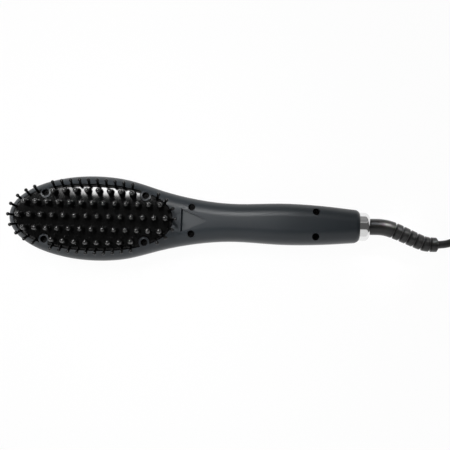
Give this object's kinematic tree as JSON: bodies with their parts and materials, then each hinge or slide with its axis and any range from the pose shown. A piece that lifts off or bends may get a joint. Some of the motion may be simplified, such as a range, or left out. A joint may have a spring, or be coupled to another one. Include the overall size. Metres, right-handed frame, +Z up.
{
  "type": "heated straightening brush",
  "caption": "Paddle-shaped hair straightening brush with heated pins, a guard of thin bristles, buttons on its back and a swivelling mains cord with plug.",
  "frame": {"origin": "on the flat back that the brush rests on, under the widest station of the head, on the middle line", "axes": "+X from the head towards the cord, +Z up out of the heated pins"},
  "size_m": [0.4405, 0.104, 0.041],
  "materials": {
    "housing_coat": "soft-touch matte charcoal",
    "plate_coat": "glossy black ceramic coat",
    "tip_plastic": "glossy black",
    "guard_plastic": "black nylon",
    "screw_steel": "blackened steel",
    "heater_metal": "bare aluminium case",
    "insulation": "woven glass sheet",
    "clamp_steel": "plain sheet steel",
    "component_black": "black moulding compound",
    "board_green": "green solder mask",
    "panel_gloss": "piano black",
    "window_smoke": "smoked clear",
    "button_plastic": "satin grey",
    "plunger_plastic": "natural",
    "ring_chrome": "polished",
    "swivel_plastic": "black acetal",
    "contact_brass": "plain",
    "lead_insulation": "silicone",
    "relief_rubber": "glossy black",
    "cord_rubber": "smooth black",
    "tie_plastic": "black strap",
    "plug_plastic": "satin black",
    "plug_metal": "nickel plated"
  },
  "bodies": {
    "housing": {"bristle_side_shell": "housing_coat", "control_side_shell": "housing_coat", "heating_plate": "plate_coat", "heated_pins": "plate_coat", "pin_tip_caps": "tip_plastic", "guard_bristle_frame": "guard_plastic", "guard_bristles": "guard_plastic", "head_screws": "screw_steel", "neck_screws": "screw_steel", "handle_screws": "screw_steel", "plate_screws": "screw_steel", "clamp_screws": "screw_steel", "board_screws": "screw_steel", "heater_bars": "heater_metal", "thermal_fuse": "heater_metal", "capacitor": "heater_metal", "insulation_sheet": "insulation", "heater_clamp": "clamp_steel", "thermistor": "component_black", "triac": "component_black", "display_module": "component_black", "tact_switches": "component_black", "control_board": "board_green", "control_panel": "panel_gloss", "display_window": "window_smoke", "cord_ring": "ring_chrome", "swivel_bush": "swivel_plastic", "contact_holder": "swivel_plastic", "contact_springs": "contact_brass", "heater_leads": "lead_insulation", "sensor_lead": "lead_insulation", "mains_leads": "lead_insulation"},
    "power_button": {"power_button": "button_plastic", "power_plunger": "plunger_plastic"},
    "temperature_up_button": {"temperature_up_button": "button_plastic", "temperature_up_plunger": "plunger_plastic"},
    "temperature_down_button": {"temperature_down_button": "button_plastic", "temperature_down_plunger": "plunger_plastic"},
    "cord_swivel": {"swivel_core": "swivel_plastic", "slip_rings": "contact_brass", "strain_relief": "relief_rubber", "mains_cord": "cord_rubber", "cord_coil": "cord_rubber", "cord_tail": "cord_rubber", "cord_tie": "tie_plastic", "plug_body": "plug_plastic", "plug_pins": "plug_metal"}
  },
  "joints": [
    {"name": "power_press", "type": "slide", "parent": "housing", "child": "power_button", "axis": [0, 0, 1], "range_m": [0, 0.0006], "stiffness_N_per_m": 800},
    {"name": "temperature_up_press", "type": "slide", "parent": "housing", "child": "temperature_up_button", "axis": [0, 0, 1], "range_m": [0, 0.0006], "stiffness_N_per_m": 800},
    {"name": "temperature_down_press", "type": "slide", "parent": "housing", "child": "temperature_down_button", "axis": [0, 0, 1], "range_m": [0, 0.0006], "stiffness_N_per_m": 800},
    {"name": "cord_turn", "type": "hinge", "parent": "housing", "child": "cord_swivel", "pos_m": [0.2034, 0, 0.0125], "axis": [1, 0, 0], "continuous": true}
  ]
}
